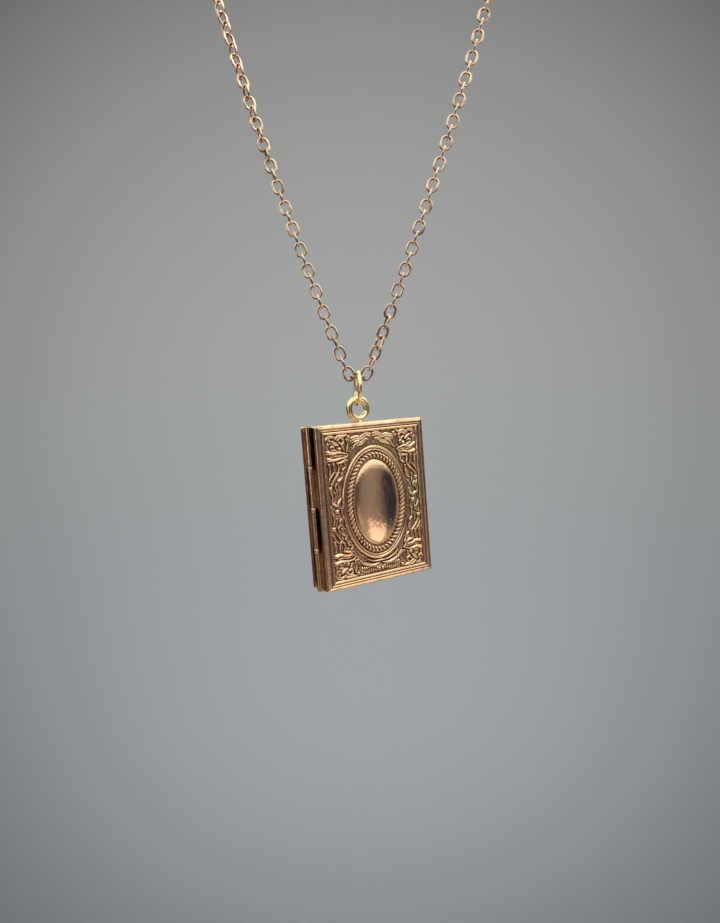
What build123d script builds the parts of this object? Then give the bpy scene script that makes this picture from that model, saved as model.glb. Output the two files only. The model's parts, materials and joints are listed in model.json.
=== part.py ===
"""Book locket on a fine cable chain, hanging as it is worn.

Millimetres, +Z up. The origin is the middle of the clasp, at the nape, where the chain hangs.
The locket is drawn closed and upright about its own centre (x across, y from front to back,
z up, spine at -x, front cover at -y), and is then put where it hangs from the chain.
"""

import os
from math import cos, degrees, radians, sin, sqrt

from build123d import *

# Closed book
book_width = 20.4
book_height = 26.0
book_thickness = 5.2
corner_radius = 0.4
wall = 0.5
floor = 0.75
cover_gap = 0.05

# Moulded frame round each cover, measured in from the cover's edge
rim_round = 0.2
groove_inset = 0.95
groove_width = 0.22
groove_depth = 0.2
field_inset = 1.6
field_depth = 0.35

# Oval medallion on the front cover, as half-widths and half-heights
plain_ring_outer = (6.2, 9.1)
plain_ring_inner = (5.65, 8.45)
rope_ring_middle = (5.1, 7.75)
rope_radius = 0.42
dome_edge = (4.55, 7.15)
dome_height = 1.1
medallion_rise = 0.3
scroll_rise = 0.28

# Spine hinge: four knuckles on one pin, with a thin lug of the leaf at each seam
barrel_radius = 0.5
barrel_x = -book_width / 2
barrel_end = book_height / 2 - 0.05
pin_radius = 0.22
pin_clearance = 0.04
pin_head_radius = 0.4
pin_head_length = 0.2
lug_thickness = 0.5
end_clearance = 0.06
turning_clearance = 0.12
spine_edge_depth = 0.9
tab_step = 0.12
spine_cut_width = 1.25
seam_pitch = book_height / 4

# Leaf for pictures between the covers
leaf_thickness = 0.6
leaf_side_gap = 0.25
leaf_spine_gap = 0.35
leaf_border = 2.0
leaf_recess = 0.12
lug_root = 0.5

# Bail ring soldered on the back cover, and the ring that hangs it on the chain
bail_outer_radius = 2.2
bail_wire_radius = 0.52
bail_y = 1.1
solder_radius = 0.55
solder_height = 0.35
ring_outer_radius = 2.95
ring_wire_radius = 0.35
ring_turn = 8.0
hanging_gap = 0.05

# Cable chain
link_length = 2.68
link_width = 2.04
link_wire = 0.38
link_gap = 0.1
first_link_slope = 60.0
strand_links = 73
strand_lean = 21.2
strand_lean_change = 0.078

# Twist of the hanging strands beyond the quarter turn from link to link, in degrees
right_twist = 40.0
right_twist_link = 4
left_twist = 45.0
left_twist_from = 18
twist_per_link = 10.0
left_twist_per_link = 3.0

# Clasp at the nape
clasp_radius = 1.15
clasp_length = 7.0
clasp_ring_radius = 0.85
clasp_ring_wire = 0.25

# How the closed locket hangs: turned about the vertical, top towards the viewer, and to the left
hang_turn = 32.0
hang_nod = 2.0
hang_lean = -5.5

half_width = book_width / 2
half_height = book_height / 2
half_thickness = book_thickness / 2
cover_depth = half_thickness - cover_gap
bail_middle_radius = bail_outer_radius - bail_wire_radius
bail_z = half_height + bail_outer_radius - cover_gap
ring_middle_radius = ring_outer_radius - ring_wire_radius

# Scrollwork of one quarter of the front cover, mirrored into the other three.
# Columns: start, middle and end of each stem as (across, up) from the centre, and its width.
quarter_stems = [
    ((8.2, 9.3), (7.85, 10.95), (5.7, 11.05), 0.42),
    ((5.35, 11.0), (5.05, 10.2), (5.45, 9.45), 0.36),
    ((7.75, 10.1), (7.0, 10.15), (6.45, 9.65), 0.5),
    ((8.1, 8.3), (6.7, 8.65), (5.4, 8.3), 0.36),
    ((8.0, 7.55), (6.7, 7.25), (5.3, 7.65), 0.36),
    ((4.75, 10.9), (4.4, 9.9), (4.65, 8.9), 0.3),
    ((0.5, 11.0), (1.4, 11.1), (2.2, 10.55), 0.38),
    ((2.3, 10.5), (3.0, 10.2), (3.85, 10.7), 0.4),
    ((0.5, 10.05), (1.3, 10.3), (2.0, 9.8), 0.38),
    ((2.1, 9.7), (2.65, 9.35), (3.4, 9.3), 0.36),
    ((6.6, 6.7), (6.2, 6.3), (5.6, 6.15), 0.34),
    ((6.3, 5.7), (7.3, 4.9), (8.05, 3.7), 0.3),
    ((8.2, 3.2), (7.9, 2.4), (7.95, 1.5), 0.3),
    ((6.3, 4.5), (6.5, 4.0), (6.75, 3.4), 0.42),
    ((6.75, 1.5), (6.95, 0.95), (7.2, 0.45), 0.34),
    ((7.2, 6.4), (7.75, 5.7), (8.2, 4.8), 0.26),
]
# Columns: place of each small bead of the quarter as (across, up), and its radius.
quarter_beads = [
    ((6.1, 10.35), 0.34),
    ((7.25, 9.35), 0.34),
    ((6.3, 8.9), 0.2),
    ((4.9, 8.0), 0.34),
    ((5.95, 5.35), 0.26),
    ((7.3, 2.6), 0.26),
    ((8.1, 0.75), 0.24),
]
bud_place = (0, 10.55)
bud_length = 1.5
bud_width = 0.5


def knuckle_span(place):
    """Lowest and highest z of a knuckle; place 0 is the lowest of the four and 3 the highest."""
    seam = lug_thickness / 2 + end_clearance
    low = -half_height + place * seam_pitch
    high = low + seam_pitch
    low = -barrel_end if place == 0 else low + seam
    high = barrel_end if place == 3 else high - seam
    return low, high


def cover_shell(cover, side):
    """Tray of one cover, open towards the middle; side is -1 for the front and 1 for the back."""
    inner_face = Plane.XZ.offset(-side * cover_gap)
    outer_face = Plane.XZ.offset(-side * half_thickness)
    with BuildSketch(inner_face) as outline:
        RectangleRounded(book_width, book_height, corner_radius)
    extrude(outline.sketch, amount=-side * cover_depth)
    rim_face = cover.faces().sort_by(Axis.Y)[-1 if side > 0 else 0]
    fillet(rim_face.edges(), rim_round)
    with BuildSketch(inner_face) as hollow:
        Rectangle(book_width - 2 * wall, book_height - 2 * wall)
    extrude(hollow.sketch, amount=-side * (cover_depth - floor), mode=Mode.SUBTRACT)
    with BuildSketch(outer_face) as field:
        Rectangle(book_width - 2 * field_inset, book_height - 2 * field_inset)
    extrude(field.sketch, amount=side * field_depth, mode=Mode.SUBTRACT)
    with BuildSketch(outer_face) as groove:
        Rectangle(book_width - 2 * groove_inset, book_height - 2 * groove_inset)
        inner = 2 * (groove_inset + groove_width)
        Rectangle(book_width - inner, book_height - inner, mode=Mode.SUBTRACT)
    extrude(groove.sketch, amount=side * groove_depth, mode=Mode.SUBTRACT)


def spine_cuts(side, own_places):
    """Clears the other cover's knuckles and the leaf's lugs out of this cover's spine."""
    gap_depth = cover_depth - spine_edge_depth
    gap_middle = side * (cover_gap + gap_depth / 2)
    reach = lug_thickness + 2 * end_clearance
    for place in range(4):
        low, high = knuckle_span(place)
        if place in own_places:
            with Locations((barrel_x, gap_middle, (low + high) / 2)):
                Box(2 * tab_step, gap_depth, high - low, mode=Mode.SUBTRACT)
            continue
        window_low = max(low - reach, wall - half_height)
        window_high = min(high + reach, half_height - wall)
        with Locations((barrel_x, gap_middle, (window_low + window_high) / 2)):
            Box(spine_cut_width, gap_depth, window_high - window_low, mode=Mode.SUBTRACT)
        round_low = low - wall if place == 0 else low - reach
        round_high = high + wall if place == 3 else high + reach
        with Locations((barrel_x, 0, (round_low + round_high) / 2)):
            Cylinder(barrel_radius + turning_clearance, round_high - round_low, mode=Mode.SUBTRACT)


def knuckles(places):
    """Knuckles of one cover, drilled for the pin."""
    for place in places:
        low, high = knuckle_span(place)
        with Locations((barrel_x, 0, (low + high) / 2)):
            Cylinder(barrel_radius, high - low)
    with Locations((barrel_x, 0, 0)):
        Cylinder(pin_radius + pin_clearance, 2 * book_height, mode=Mode.SUBTRACT)


def rope_path():
    """Oval that the rope ring follows."""
    across, up = rope_ring_middle
    return Edge.make_ellipse(across, up, Plane.XZ.offset(half_thickness - medallion_rise))


def scrollwork():
    """Raised stems, beads and buds in the four quarters of the front cover's field."""
    with BuildSketch(Plane.XZ.offset(half_thickness - field_depth)) as scrolls:
        for across in (-1, 1):
            for up in (-1, 1):
                for start, middle, end, width in quarter_stems:
                    bend = [(across * x, up * z) for x, z in (start, middle, end)]
                    with BuildLine(mode=Mode.PRIVATE) as stem:
                        ThreePointArc(*bend)
                    SlotArc(stem.edge(), width)
                for (x, z), radius in quarter_beads:
                    with Locations((across * x, up * z)):
                        Circle(radius)
        for up in (-1, 1):
            with Locations((bud_place[0], up * bud_place[1])):
                SlotOverall(bud_length, bud_width, rotation=90)
    extrude(scrolls.sketch, amount=scroll_rise)


# The dome of the medallion is a ball flattened to the oval
with BuildPart() as dome:
    Sphere(1)
    scale(by=(dome_edge[0], dome_height, dome_edge[1]))
    split(bisect_by=Plane.XZ)

with BuildPart() as front_cover:
    cover_shell(front_cover, -1)
    spine_cuts(-1, (0, 2))
    knuckles((0, 2))
    scrollwork()
    with BuildSketch(Plane.XZ.offset(half_thickness - field_depth)):
        Ellipse(*plain_ring_outer)
    extrude(amount=field_depth)
    with BuildSketch(Plane.XZ.offset(half_thickness - medallion_rise)):
        Ellipse(*plain_ring_inner)
    extrude(amount=medallion_rise, mode=Mode.SUBTRACT)
    rope_start = rope_path().position_at(0)
    with BuildSketch(Plane(rope_start, x_dir=(1, 0, 0), z_dir=(0, 0, 1))) as rope_section:
        Circle(rope_radius)
    sweep(path=rope_path())
    with Locations((0, medallion_rise - half_thickness, 0)):
        add(dome.part)
front_cover.part.label = "front_cover"

with BuildPart() as back_cover:
    cover_shell(back_cover, 1)
    spine_cuts(1, (1, 3))
    knuckles((1, 3))
    with Locations((0, bail_y, half_height)):
        Cylinder(solder_radius, 2 * solder_height)
    with Locations((0, bail_y, bail_z)):
        Torus(bail_middle_radius, bail_wire_radius, rotation=(90, 0, 0))
back_cover.part.label = "back_cover"

with BuildPart() as hinge_pin:
    with Locations((barrel_x, 0, 0)):
        Cylinder(pin_radius, 2 * barrel_end + pin_head_length)
    for end in (-1, 1):
        with Locations((barrel_x, 0, end * (barrel_end + end_clearance + pin_head_length / 2))):
            Cylinder(pin_head_radius, pin_head_length)
hinge_pin.part.label = "hinge_pin"

leaf_left = -half_width + wall + leaf_spine_gap
leaf_right = half_width - wall - leaf_side_gap
leaf_width = leaf_right - leaf_left
leaf_height = book_height - 2 * wall - 2 * leaf_side_gap
with BuildPart() as picture_leaf:
    with Locations(((leaf_left + leaf_right) / 2, 0, 0)):
        Box(leaf_width, leaf_thickness, leaf_height)
        for side in (-1, 1):
            with Locations((0, side * (leaf_thickness - leaf_recess) / 2, 0)):
                Box(leaf_width - 2 * leaf_border, leaf_recess, leaf_height - 2 * leaf_border,
                    mode=Mode.SUBTRACT)
    for seam in (-1, 0, 1):
        with Locations(((barrel_x + leaf_left + lug_root) / 2, 0, seam * seam_pitch)):
            Box(leaf_left + lug_root - barrel_x, leaf_thickness, lug_thickness)
        with Locations((barrel_x, 0, seam * seam_pitch)):
            Cylinder(barrel_radius, lug_thickness)
    with Locations((barrel_x, 0, 0)):
        Cylinder(pin_radius + pin_clearance, 2 * book_height, mode=Mode.SUBTRACT)
picture_leaf.part.label = "picture_leaf"

with BuildPart() as jump_ring:
    Torus(ring_middle_radius, ring_wire_radius, rotation=(0, 90, 0))
jump_ring.part.label = "jump_ring"

# One link lies flat about its centre, long side along x
end_radius = (link_width - link_wire) / 2
end_centre = (link_length - link_width) / 2
with BuildPart() as link:
    with BuildLine() as link_path:
        Line((-end_centre, end_radius), (end_centre, end_radius))
        ThreePointArc((end_centre, end_radius), (end_centre + end_radius, 0), (end_centre, -end_radius))
        Line((end_centre, -end_radius), (-end_centre, -end_radius))
        ThreePointArc((-end_centre, -end_radius), (-end_centre - end_radius, 0), (-end_centre, end_radius))
    with BuildSketch(Plane((0, end_radius, 0), x_dir=(0, 1, 0), z_dir=(1, 0, 0))):
        Circle(link_wire / 2)
    sweep(path=link_path.line)

pitch = link_length - 2 * link_wire - link_gap
bar_reach = (link_length - link_wire) / 2


def strand_twist(number, side):
    """Turn of a link about the strand, beyond the quarter turn between neighbours, in degrees."""
    if side > 0:
        return max(0.0, right_twist - twist_per_link * abs(number - right_twist_link))
    return min(left_twist, max(0.0, left_twist_per_link * (number - left_twist_from)))


def strand_places():
    """Centre (across, up) and slope in degrees of each link of one side, above the lowest link.

    Returns:
        The list of (x, z, slope) and the height of the loop's top above the lowest link.
    """
    places = [(0.0, 0.0, 0.0)]
    slope = radians(first_link_slope)
    reach = bar_reach - link_wire - link_gap
    x = bar_reach + reach * cos(slope)
    z = reach * sin(slope)
    places.append((x, z, degrees(slope)))
    for number in range(2, strand_links + 1):
        next_slope = radians(90.0 - strand_lean + strand_lean_change * number * pitch)
        x += pitch * cos((slope + next_slope) / 2)
        z += pitch * sin((slope + next_slope) / 2)
        slope = next_slope
        places.append((x, z, degrees(slope)))
    neck_radius = x / sin(slope)
    top = z + neck_radius * (1 + cos(slope))
    clasp_end = clasp_length / 2 + 2 * clasp_ring_radius
    while x > clasp_end + bar_reach:
        middle = slope + pitch / neck_radius / 2
        x += pitch * cos(middle)
        z += pitch * sin(middle)
        slope += pitch / neck_radius
        places.append((x, z, degrees(slope)))
    return places, top


link_places, loop_height = strand_places()


def link_location(place, number, side):
    """Where a link goes: side is 1 for the right strand and -1 for the left."""
    x, z, slope = place
    standing = 90.0 * (number % 2) + strand_twist(number, side)
    spot = Location((side * x, 0, z - loop_height))
    turned = Location((0, 0, 0), (0, -slope if side > 0 else slope - 180.0, 0))
    return spot * turned * Location((0, 0, 0), (standing, 0, 0))


strand_rows = list(enumerate(link_places))
left_locations = [link_location(place, number, -1) for number, place in strand_rows]
right_locations = [link_location(place, number, 1) for number, place in strand_rows[1:]]


with BuildPart() as chain_left:
    with Locations(*left_locations):
        add(link.part)
chain_left.part.label = "chain_left"

with BuildPart() as chain_right:
    with Locations(*right_locations):
        add(link.part)
chain_right.part.label = "chain_right"

# The last links hook the clasp's end rings, which stand or lie across them
last_x, last_z, last_slope = link_places[-1]
last_turn = radians(last_slope)
hook_reach = bar_reach - link_wire / 2 - link_gap - clasp_ring_wire
hook_x = last_x + hook_reach * cos(last_turn)
hook_z = last_z + hook_reach * sin(last_turn) - loop_height
clasp_ring_middle = clasp_ring_radius - clasp_ring_wire
clasp_ring_turn = (90, 0, 0) if len(link_places) % 2 else (0, 0, 0)
clasp_bar = 2 * (hook_x - 2 * clasp_ring_middle)
with BuildPart() as clasp:
    with Locations((0, 0, hook_z)):
        Cylinder(clasp_radius, clasp_bar, rotation=(0, 90, 0))
    fillet(clasp.edges(), clasp_radius / 2)
    for end in (-1, 1):
        with Locations((end * (hook_x - clasp_ring_middle), 0, hook_z)):
            Torus(clasp_ring_middle, clasp_ring_wire, rotation=clasp_ring_turn)
clasp.part.label = "clasp"

# The ring sits on the lowest link's two side bars, and the bail hangs on the ring
ring_inner_radius = ring_outer_radius - 2 * ring_wire_radius
saddle = ring_inner_radius - link_wire / 2 - hanging_gap
ring_z = -loop_height - sqrt(saddle**2 - end_radius**2)
bail_hole_radius = bail_outer_radius - 2 * bail_wire_radius
bail_centre_z = ring_z - ring_middle_radius - (bail_hole_radius - ring_wire_radius - hanging_gap)
ring_place = Location((0, 0, ring_z)) * Location((0, 0, 0), (0, 0, ring_turn))
hang = Location((0, 0, 0), (0, 0, hang_turn)) * Location((0, 0, 0), (hang_nod, 0, 0))
hang = hang * Location((0, 0, 0), (0, hang_lean, 0))
book_place = Location((0, 0, bail_centre_z)) * hang * Location((0, -bail_y, -bail_z))

jump_ring.part.locate(ring_place)
for piece in (front_cover, back_cover, hinge_pin, picture_leaf):
    piece.part.locate(book_place)

os.makedirs("parts", exist_ok=True)
export_step(front_cover.part, "parts/front_cover.step")
export_step(back_cover.part, "parts/back_cover.step")
export_step(hinge_pin.part, "parts/hinge_pin.step")
export_step(picture_leaf.part, "parts/picture_leaf.step")
export_step(jump_ring.part, "parts/jump_ring.step")
export_step(chain_left.part, "parts/chain_left.step")
export_step(chain_right.part, "parts/chain_right.step")
export_step(clasp.part, "parts/clasp.step")

chain_length = pitch * (len(left_locations) + len(right_locations)) + 2 * hook_x
print("links", len(left_locations) + len(right_locations), "whole chain", round(chain_length, 1))
print("loop height", round(loop_height, 2), "ring centre z", round(ring_z, 3))
print("book centre", book_place.position, "clasp z", round(hook_z, 3))
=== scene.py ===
"""Book locket on a fine cable chain: the finish of every piece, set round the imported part.

Sizes are millimetres. The locket's pieces are drawn closed and upright about the book's own
centre (x across, y from front to back, z up, spine at -x, front cover at -y) and are placed
where the locket hangs. Only the finished meshes are in metres.
"""

import json
import logging
import math
from collections.abc import Sequence
from dataclasses import dataclass, field
from enum import Enum

import bmesh
import bpy
import numpy as np
from mathutils import Matrix, Vector


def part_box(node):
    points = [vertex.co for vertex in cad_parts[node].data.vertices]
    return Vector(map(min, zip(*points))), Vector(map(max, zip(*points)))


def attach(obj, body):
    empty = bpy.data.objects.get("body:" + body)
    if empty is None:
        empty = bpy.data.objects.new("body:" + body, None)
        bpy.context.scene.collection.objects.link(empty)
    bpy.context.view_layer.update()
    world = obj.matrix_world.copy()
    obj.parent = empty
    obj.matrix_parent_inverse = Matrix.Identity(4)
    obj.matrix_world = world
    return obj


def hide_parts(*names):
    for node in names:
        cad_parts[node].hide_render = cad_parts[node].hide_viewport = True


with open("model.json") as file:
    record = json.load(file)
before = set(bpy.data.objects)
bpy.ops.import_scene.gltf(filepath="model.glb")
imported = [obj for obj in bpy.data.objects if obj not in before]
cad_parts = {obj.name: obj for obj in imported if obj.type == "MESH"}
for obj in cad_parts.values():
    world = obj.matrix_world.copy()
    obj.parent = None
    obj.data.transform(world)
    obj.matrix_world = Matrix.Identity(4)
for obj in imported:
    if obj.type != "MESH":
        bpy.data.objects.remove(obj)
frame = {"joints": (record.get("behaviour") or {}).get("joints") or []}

Socket = bpy.types.NodeSocket
Station = tuple[float, float, float, float]
Point = tuple[float, float]
Colour = tuple[float, float, float]
MM = 0.001
log = logging.getLogger("locket")


class Body(Enum):
    """The bodies that the pieces move with."""

    NECKLACE = "necklace"
    RING = "hanging_ring"
    BACK = "locket_back"
    LEAF = "locket_leaf"
    FRONT = "locket_front"


class Slot(Enum):
    """The metals that the record names."""

    COVER = "cover_metal"
    PIN = "pin_metal"
    LEAF = "leaf_metal"
    RING = "ring_metal"
    CHAIN = "chain_metal"


# Shader groups and finishes. The scales are features per metre; a hair's row is its turn and scale.

CREEP_SCALE, SMEAR_SCALE, WARMTH_SCALE, DENT_SCALE = 700.0, 160.0, 90.0, 1300.0
HAIRS = ((0.5, 3800.0), (-0.9, 5200.0))
HAIR_ALONG = 260.0


@dataclass
class NodeBench:
    """Places and wires the nodes of one node tree."""

    tree: bpy.types.NodeTree

    def node(self, kind: str, **settings: object) -> bpy.types.Node:
        """Adds a node.

        Args:
            kind: The node's type name.
            settings: Attributes to set on it.

        Returns:
            The new node.
        """
        made = self.tree.nodes.new(kind)
        for name, value in settings.items():
            setattr(made, name, value)
        return made

    def wire(self, source: Socket, target: Socket) -> None:
        """Joins an output to an input.

        Args:
            source: The output.
            target: The input.
        """
        self.tree.links.new(source, target)

    def noise(self, scale: float, detail: float, vector: Socket | None = None) -> Socket:
        """Adds a noise texture.

        Args:
            scale: Features per metre.
            detail: Octaves of finer noise.
            vector: Where it reads its place from; object space if left out.

        Returns:
            Its value output.
        """
        texture = self.node("ShaderNodeTexNoise")
        texture.inputs["Scale"].default_value = scale
        texture.inputs["Detail"].default_value = detail
        self.wire(vector or self.node("ShaderNodeTexCoord").outputs["Object"], texture.inputs["Vector"])
        return texture.outputs["Fac"]

    def spread(self, value: Socket, low: float, high: float, to_low: float = 0.0,
               to_high: float = 1.0) -> Socket:
        """Maps a value smoothly from one range to another.

        Args:
            value: The value to map.
            low: The value that becomes to_low.
            high: The value that becomes to_high.
            to_low: Result at and below low.
            to_high: Result at and above high.

        Returns:
            The mapped value.
        """
        ramp = self.node("ShaderNodeMapRange", interpolation_type="SMOOTHSTEP")
        self.wire(value, ramp.inputs["Value"])
        ends = (("From Min", low), ("From Max", high), ("To Min", to_low), ("To Max", to_high))
        for name, number in ends:
            ramp.inputs[name].default_value = number
        return ramp.outputs["Result"]

    def sum(self, operation: str, first: Socket, second: Socket | float) -> Socket:
        """Combines two values.

        Args:
            operation: The math node's operation.
            first: The first value.
            second: The second value, or a number.

        Returns:
            The result.
        """
        made = self.node("ShaderNodeMath", operation=operation)
        self.wire(first, made.inputs[0])
        if isinstance(second, (int, float)):
            made.inputs[1].default_value = second
        else:
            self.wire(second, made.inputs[1])
        return made.outputs["Value"]

    def blend(self, share: Socket, first: Colour | Socket, second: Colour | Socket) -> Socket:
        """Mixes two colours.

        Args:
            share: How much of the second colour shows.
            first: The first colour.
            second: The second colour.

        Returns:
            The mixed colour.
        """
        mix = self.node("ShaderNodeMix", data_type="RGBA")
        self.wire(share, mix.inputs[0])
        for place, colour in ((6, first), (7, second)):
            if isinstance(colour, tuple):
                mix.inputs[place].default_value = (*colour, 1.0)
            else:
                self.wire(colour, mix.inputs[place])
        return mix.outputs[2]


def shader_group(name: str, inputs: dict[str, float],
                 outputs: Sequence[str]) -> tuple[NodeBench, dict[str, Socket], dict[str, Socket]]:
    """Starts a shader group.

    Args:
        name: The group's name.
        inputs: Input names with their default numbers.
        outputs: Output names, all plain values.

    Returns:
        The bench that builds it, its input sockets by name, and its output sockets by name.
    """
    tree = bpy.data.node_groups.new(name, "ShaderNodeTree")
    for title, number in inputs.items():
        entry = tree.interface.new_socket(title, in_out="INPUT", socket_type="NodeSocketFloat")
        entry.default_value = number
    for title in outputs:
        tree.interface.new_socket(title, in_out="OUTPUT", socket_type="NodeSocketFloat")
    given = {s.name: s for s in tree.nodes.new("NodeGroupInput").outputs if s.name}
    out = {s.name: s for s in tree.nodes.new("NodeGroupOutput").inputs if s.name}
    return NodeBench(tree), given, out


def tarnish_and_shade_group() -> bpy.types.NodeTree:
    """Brown tarnish that gathers in hollows and creeps unevenly out of them; the same darkening also paints
    shade where a piece's hollowness carries shade.

    Returns:
        The group.
    """
    bench, given, out = shader_group("HollowTarnishAndShade", {"Hollow": 0.0, "Creep": 0.5}, ["Mask"])
    # Darkens by the Hollow input: tarnish on the face, painted shade on the walls, knuckles and chain links.
    creep = bench.spread(bench.noise(CREEP_SCALE, 4.0), 0.3, 0.75, -0.22, 0.3)
    uneven = bench.sum("ADD", given["Hollow"], bench.sum("MULTIPLY", creep, given["Creep"]))
    bench.wire(bench.spread(uneven, 0.18, 0.82), out["Mask"])
    return bench.tree


def handling_group() -> bpy.types.NodeTree:
    """Smears and dulled patches that fingers leave on polished metal.

    Returns:
        The group.
    """
    bench, given, out = shader_group("HandlingSmears", {"Amount": 0.5}, ["Dulling", "Warmth"])
    smears = bench.spread(bench.noise(SMEAR_SCALE, 5.0), 0.42, 0.68)
    bench.wire(bench.sum("MULTIPLY", smears, given["Amount"]), out["Dulling"])
    bench.wire(bench.spread(bench.noise(WARMTH_SCALE, 2.0), 0.35, 0.65), out["Warmth"])
    return bench.tree


def scratch_group() -> bpy.types.NodeTree:
    """Hairline scratches and tiny dents, as a height.

    Returns:
        The group.
    """
    bench, given, out = shader_group("HairScratches", {"Scratches": 0.5, "Dents": 0.5}, ["Height"])
    place = bench.node("ShaderNodeTexCoord").outputs["Object"]
    height = None
    for turn, across in HAIRS:
        mapping = bench.node("ShaderNodeMapping")
        mapping.inputs["Rotation"].default_value = (0.3, turn, 0.2)
        mapping.inputs["Scale"].default_value = (across, across, HAIR_ALONG)
        bench.wire(place, mapping.inputs["Vector"])
        hairs = bench.spread(bench.noise(1.0, 1.0, mapping.outputs["Vector"]), 0.62, 0.72, 0.0, -1.0)
        height = hairs if height is None else bench.sum("ADD", height, hairs)
    dents = bench.spread(bench.noise(DENT_SCALE, 2.0), 0.3, 0.7, -1.0, 1.0)
    cut = bench.sum("MULTIPLY", height, given["Scratches"])
    bench.wire(bench.sum("ADD", cut, bench.sum("MULTIPLY", dents, given["Dents"])), out["Height"])
    return bench.tree


@dataclass(frozen=True)
class MetalFinish:
    """Polished metal with tarnish in its hollows and painted shade where its hollowness carries shade,
    smears, hair scratches and small dents.
    """

    name: str
    polished: Colour
    warm: Colour
    # The tarnished colour is laid both as tarnish and as painted shade.
    tarnished: Colour
    gloss: float = 0.16
    hollow_gloss: float = 0.5
    creep: float = 0.5
    smears: float = 0.5
    smear_depth: float = 0.4
    scratches: float = 0.5
    dents: float = 0.4
    relief: float = 0.00001

    def build(self, groups: dict[str, bpy.types.NodeTree]) -> bpy.types.Material:
        """Makes the material.

        Args:
            groups: The shared shader groups by name.

        Returns:
            The material.
        """
        material = bpy.data.materials.new(self.name)
        material.use_nodes = True
        bench = NodeBench(material.node_tree)
        surface = material.node_tree.nodes["Principled BSDF"]
        surface.inputs["Metallic"].default_value = 1.0
        # The hollow attribute is tarnish in the face's hollows and painted shade on the walls, knuckles and
        # the inside of the chain links; both darken the colour the same way.
        hollow = bench.node("ShaderNodeAttribute", attribute_name="hollow").outputs["Fac"]
        tarnish = self.place(bench, groups["HollowTarnishAndShade"], {"Creep": self.creep})
        bench.wire(hollow, tarnish.inputs["Hollow"])
        handling = self.place(bench, groups["HandlingSmears"], {"Amount": self.smears})
        cuts = {"Scratches": self.scratches, "Dents": self.dents}
        scratch = self.place(bench, groups["HairScratches"], cuts)
        clean = bench.blend(handling.outputs["Warmth"], self.polished, self.warm)
        tarnish_and_shade_mask = tarnish.outputs["Mask"]
        bench.wire(bench.blend(tarnish_and_shade_mask, clean, self.tarnished), surface.inputs["Base Color"])
        dulled = bench.sum("MULTIPLY", handling.outputs["Dulling"], self.smear_depth)
        spoiled = bench.sum("MAXIMUM", tarnish_and_shade_mask, dulled)
        roughness = bench.spread(spoiled, 0.0, 1.0, self.gloss, self.hollow_gloss)
        bench.wire(roughness, surface.inputs["Roughness"])
        bump = bench.node("ShaderNodeBump")
        bump.inputs["Distance"].default_value = self.relief
        bump.inputs["Strength"].default_value = 1.0
        bench.wire(scratch.outputs["Height"], bump.inputs["Height"])
        bench.wire(bump.outputs["Normal"], surface.inputs["Normal"])
        return material

    @staticmethod
    def place(bench: NodeBench, tree: bpy.types.NodeTree, values: dict[str, float]) -> bpy.types.Node:
        """Places a shared group with this finish's own values.

        Args:
            bench: The material's bench.
            tree: The shared group.
            values: Its input values by name.

        Returns:
            The group's node.
        """
        made = bench.node("ShaderNodeGroup", node_tree=tree)
        for name, number in values.items():
            made.inputs[name].default_value = number
        return made


class Metal(Enum):
    """The finishes on this locket and chain."""

    COVER = MetalFinish("rose_gold_stamped", (0.88, 0.66, 0.46), (0.88, 0.585, 0.43), (0.09, 0.038, 0.018),
                        gloss=0.15, hollow_gloss=0.42)
    RING = MetalFinish("yellow_ring_wire", (0.94, 0.83, 0.57), (0.90, 0.76, 0.50), (0.2, 0.12, 0.05),
                       gloss=0.12, dents=0.25)
    CHAIN = MetalFinish("rose_chain_wire", (0.86, 0.64, 0.50), (0.78, 0.53, 0.41), (0.12, 0.045, 0.035),
                        gloss=0.1, hollow_gloss=0.4, dents=0.3, creep=0.9)
    LEAF = MetalFinish("satin_leaf", (0.78, 0.55, 0.37), (0.72, 0.48, 0.32), (0.2, 0.1, 0.05),
                       gloss=0.34, hollow_gloss=0.5, scratches=0.8)
    PIN = MetalFinish("dulled_pin_wire", (0.62, 0.42, 0.28), (0.55, 0.35, 0.22), (0.18, 0.09, 0.05),
                      gloss=0.3)


@dataclass
class Workshop:
    """Holds the finished materials and turns drafts into pieces."""

    materials: dict[Metal, bpy.types.Material] = field(default_factory=dict)

    def __post_init__(self) -> None:
        """Builds every finish once."""
        groups = {g.name: g for g in (tarnish_and_shade_group(), handling_group(), scratch_group())}
        for metal in Metal:
            self.materials[metal] = metal.value.build(groups)

    def piece(self, name: str, draft: "Draft", place: Matrix, metal: Metal, slot: Slot, body: Body,
              crease: float = 40.0, replaces: Sequence[str] = ()) -> bpy.types.Object:
        """Makes one finished piece.

        Args:
            name: The piece's name.
            draft: Its points and faces, in millimetres.
            place: Where it goes.
            metal: Its finish.
            slot: The record's metal that it would take its finish from; not used.
            body: The body that it moves with.
            crease: Edges that turn more than this many degrees stay sharp.
            replaces: Nodes that it stands for.

        Returns:
            The new object.
        """
        mesh = draft.mesh(name, crease)
        mesh.transform(place)
        mesh.materials.append(self.materials[metal])
        made = bpy.data.objects.new(name, mesh)
        bpy.context.scene.collection.objects.link(made)
        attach(made, body.value)
        if replaces:
            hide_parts(*replaces)
        triangles = sum(len(p.vertices) - 2 for p in mesh.polygons)
        log.info("%s: %d triangles, rides on %s", name, triangles, body.value)
        return made


# Mesh drafts


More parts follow.
